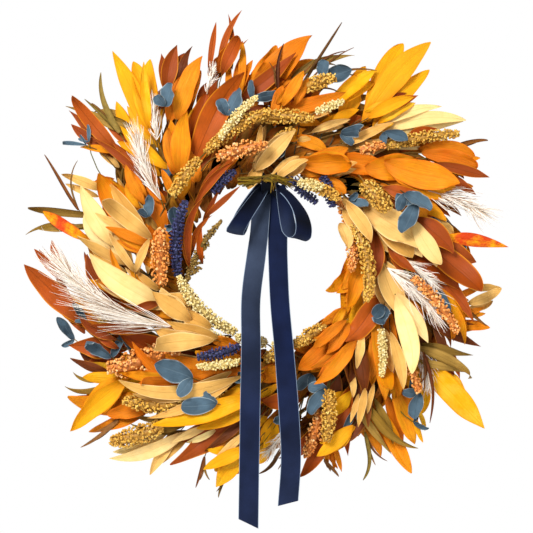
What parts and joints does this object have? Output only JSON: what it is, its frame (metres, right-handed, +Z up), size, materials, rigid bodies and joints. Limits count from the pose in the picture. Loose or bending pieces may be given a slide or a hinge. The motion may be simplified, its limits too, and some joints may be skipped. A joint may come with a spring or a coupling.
{
  "type": "harvest door wreath",
  "caption": "Round door wreath of dried leaves and seed heads on a wire form, with a navy ribbon bow and a hanging loop.",
  "frame": {"origin": "hook seat: the top inside of the hanger's loop", "axes": "+Z up, the front faces -Y, the door is behind at +Y"},
  "size_m": [0.5501, 0.1124, 0.5683],
  "materials": {
    "frame_wire": "satin green paint",
    "steel_wire": "bright drawn wire",
    "stem": "dried stems",
    "golden_leaf": "dried leaf, fine long veins",
    "orange_husk": "dried husk, long ribs",
    "rust_leaf": "preserved leaf, soft sheen",
    "brown_leaf": "preserved leaf, dark",
    "tan_leaf": "dried leaf, matt",
    "cream_leaf": "dried leaf, matt",
    "olive_leaf": "dried blade",
    "mottled_leaf": "red leaf with yellow patches",
    "grass_blade": "thin dried blade",
    "eucalyptus": "preserved eucalyptus, waxy bloom",
    "plume": "fine plume hairs",
    "gold_millet": "packed round grains",
    "cream_wheat": "packed pale grains",
    "orange_sorghum": "packed round grains",
    "lavender": "small dark buds",
    "ribbon": "velvet pile, satin edge"
  },
  "bodies": {
    "hanger": {"hanger_loop": "steel_wire"},
    "left_tail": {"left_tail": "ribbon"},
    "right_tail": {"right_tail": "ribbon"},
    "wreath": {"binding_wire": "steel_wire", "bow_knot": "ribbon", "bow_loop_left": "ribbon", "bow_loop_right": "ribbon", "bow_tie_wire": "steel_wire", "brown_leaves_left": "brown_leaf", "brown_leaves_right": "brown_leaf", "brown_leaves_top": "brown_leaf", "cream_leaves_left": "cream_leaf", "cream_leaves_right": "cream_leaf", "cream_leaves_top": "cream_leaf", "cream_wheat_left": "cream_wheat", "cream_wheat_right": "cream_wheat", "cream_wheat_top": "cream_wheat", "eucalyptus_leaves_left": "eucalyptus", "eucalyptus_leaves_right": "eucalyptus", "eucalyptus_leaves_top": "eucalyptus", "frame_crossbars": "frame_wire", "gold_millet_left": "gold_millet", "gold_millet_right": "gold_millet", "gold_millet_top": "gold_millet", "golden_leaves_left": "golden_leaf", "golden_leaves_right": "golden_leaf", "golden_leaves_top": "golden_leaf", "grass_blades_left": "grass_blade", "grass_blades_right": "grass_blade", "grass_blades_top": "grass_blade", "inner_back_ring": "frame_wire", "left_tail_upper": "ribbon", "mottled_leaves_left": "mottled_leaf", "mottled_leaves_right": "mottled_leaf", "navy_lavender_left": "lavender", "navy_lavender_top": "lavender", "olive_leaves_left": "olive_leaf", "olive_leaves_right": "olive_leaf", "olive_leaves_top": "olive_leaf", "orange_husks_left": "orange_husk", "orange_husks_right": "orange_husk", "orange_husks_top": "orange_husk", "orange_sorghum_left": "orange_sorghum", "orange_sorghum_right": "orange_sorghum", "orange_sorghum_top": "orange_sorghum", "outer_back_ring": "frame_wire", "right_tail_upper": "ribbon", "rust_leaves_left": "rust_leaf", "rust_leaves_right": "rust_leaf", "rust_leaves_top": "rust_leaf", "stem_bundles": "stem", "tan_leaves_left": "tan_leaf", "tan_leaves_right": "tan_leaf", "tan_leaves_top": "tan_leaf", "upper_inner_ring": "frame_wire", "upper_outer_ring": "frame_wire", "white_plumes_left": "plume", "white_plumes_right": "plume", "white_plumes_top": "plume"}
  },
  "joints": [
    {"name": "wreath_swing", "type": "hinge", "parent": "hanger", "child": "wreath", "pos_m": [0, 0, -0.028], "axis": [1, 0, 0], "range_deg": [-15, 0]},
    {"name": "left_tail_lift", "type": "hinge", "parent": "wreath", "child": "left_tail", "pos_m": [-0.02, -0.0695, -0.1624], "axis": [1, 0, 0], "range_deg": [-70, 0]},
    {"name": "right_tail_lift", "type": "hinge", "parent": "wreath", "child": "right_tail", "pos_m": [0.003, -0.0695, -0.1624], "axis": [1, 0, 0], "range_deg": [-70, 0]}
  ]
}
